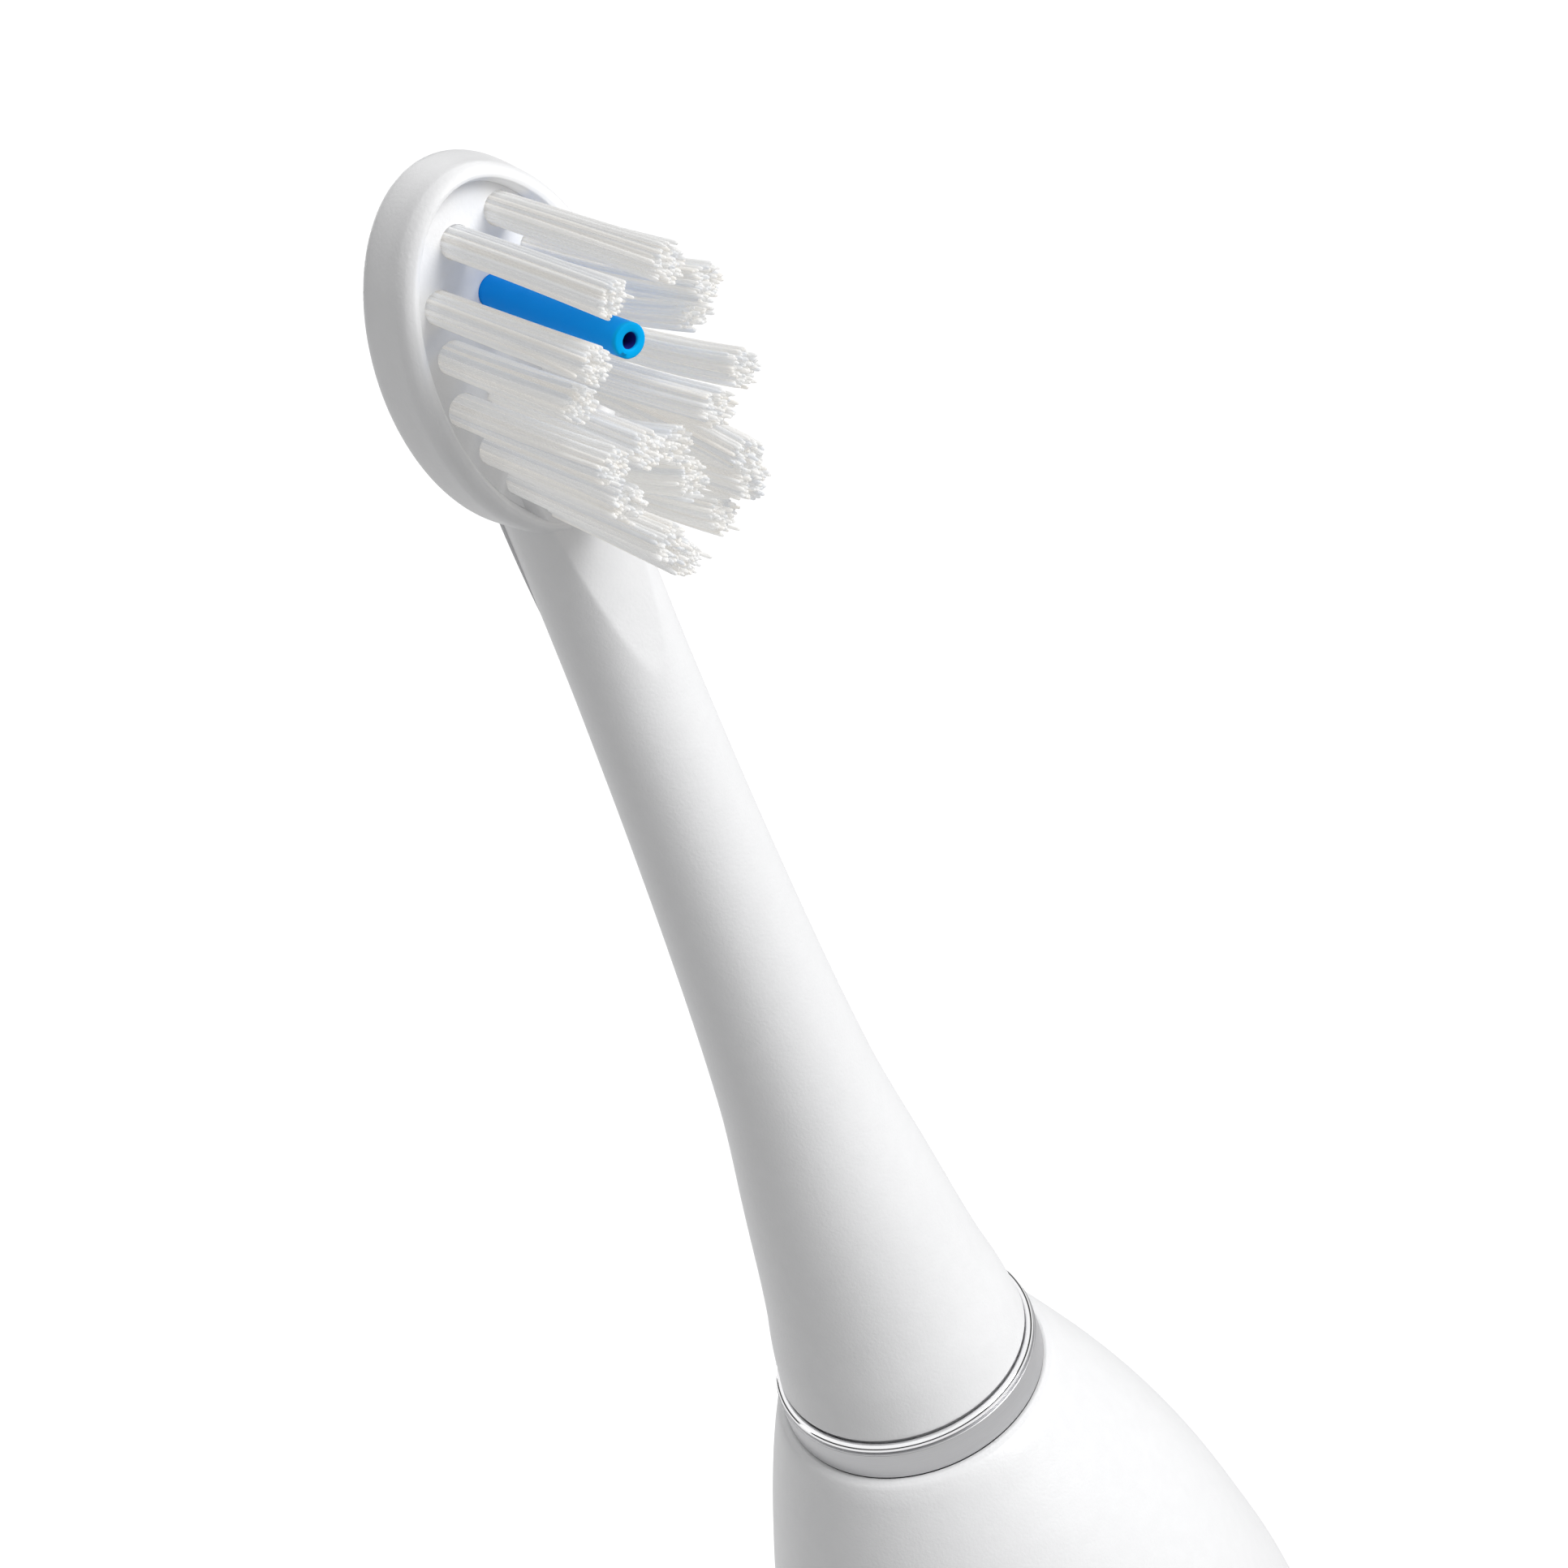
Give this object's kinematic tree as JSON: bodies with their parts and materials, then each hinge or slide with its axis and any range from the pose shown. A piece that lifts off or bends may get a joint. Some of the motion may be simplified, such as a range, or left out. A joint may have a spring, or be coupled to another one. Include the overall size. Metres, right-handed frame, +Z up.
{
  "type": "water flosser",
  "caption": "Cordless hand piece of a water flosser: sweeping bristle head with a central jet nozzle, tapered neck, collar and rounded handle with controls and a hose socket.",
  "frame": {"origin": "on the neck axis, in the plane of the rubber foot's underside; the hose socket's mouth is 0.8 mm above it", "axes": "+Z up the neck to the brush head, -Y the way the bristles and controls face"},
  "size_m": [0.0418, 0.0436, 0.2513],
  "materials": {
    "satin_white": "satin white moulded plastic with a very fine grain",
    "plate_white": "white plastic",
    "nylon": "milky nylon filament",
    "jet_blue": "deep blue soft plastic",
    "clear_tube": "milky tube",
    "inner_plastic": "light grey engineering plastic",
    "dark_plastic": "dark grey engineering plastic",
    "steel": "ground stainless steel",
    "polished": "polished",
    "satin_metal": "satin grey metal",
    "magnet": "nickel-plated magnet",
    "iron": "laminated iron",
    "copper": "enamelled copper wire",
    "rubber_black": "soft black rubber",
    "rubber_grey": "soft grey rubber",
    "board_green": "circuit board",
    "cell_wrap": "shrink-wrapped cell",
    "panel_grey": "soft-touch light grey",
    "lens": "diffusing lens"
  },
  "bodies": {
    "handle": {"handle_shell": "satin_white", "collar_bead": "polished", "collar_band": "satin_metal", "seam_gasket": "rubber_black", "nose_cap": "inner_plastic", "shaft_boot": "rubber_grey", "motor_housing": "dark_plastic", "upper_bearing": "steel", "lower_bearing": "steel", "stator_core": "iron", "stator_coils": "copper", "swivel_coupling": "inner_plastic", "upper_water_line": "clear_tube", "lower_water_line": "clear_tube", "valve_body": "dark_plastic", "inlet_fitting": "inner_plastic", "inlet_o_ring": "rubber_black", "chassis": "inner_plastic", "battery": "cell_wrap", "circuit_board": "board_green", "switch_domes": "steel", "control_panel": "panel_grey", "indicator_lenses": "lens", "charging_coil": "copper", "bottom_cap": "satin_white", "cap_seal": "rubber_grey", "cap_screws": "steel", "foot_ring": "rubber_grey"},
    "drive": {"drive_shaft": "steel", "shaft_o_ring": "rubber_black", "rotor_yoke": "iron", "rotor_magnets": "magnet"},
    "brush_head": {"neck_shell": "satin_white", "rear_cover": "satin_white", "tuft_plate": "plate_white", "outer_tufts": "nylon", "inner_tufts": "nylon", "tuft_anchors": "steel", "jet_nozzle": "jet_blue", "water_tube": "clear_tube", "drive_socket": "inner_plastic", "socket_clip": "steel"},
    "brush_button": {"brush_button": "satin_white"},
    "floss_button": {"floss_button": "satin_white"},
    "flow_slider": {"flow_slider": "jet_blue", "valve_spool": "steel"}
  },
  "joints": [
    {"name": "head_sweep", "type": "hinge", "parent": "handle", "child": "drive", "pos_m": [0, 0, 0.158], "axis": [0, 0, 1], "range_deg": [-8, 8], "stiffness_Nm_per_rad": 0.08},
    {"name": "head_release", "type": "slide", "parent": "drive", "child": "brush_head", "axis": [0, 0, 1], "range_m": [0, 0.03]},
    {"name": "brush_press", "type": "slide", "parent": "handle", "child": "brush_button", "axis": [0, 1, 0], "range_m": [0, 0.001], "stiffness_N_per_m": 1200, "springref_m": -0.0005},
    {"name": "floss_press", "type": "slide", "parent": "handle", "child": "floss_button", "axis": [0, 1, 0], "range_m": [0, 0.001], "stiffness_N_per_m": 1200, "springref_m": -0.0005},
    {"name": "flow_slide", "type": "slide", "parent": "handle", "child": "flow_slider", "axis": [0, 0, -1], "range_m": [0, 0.006]}
  ]
}
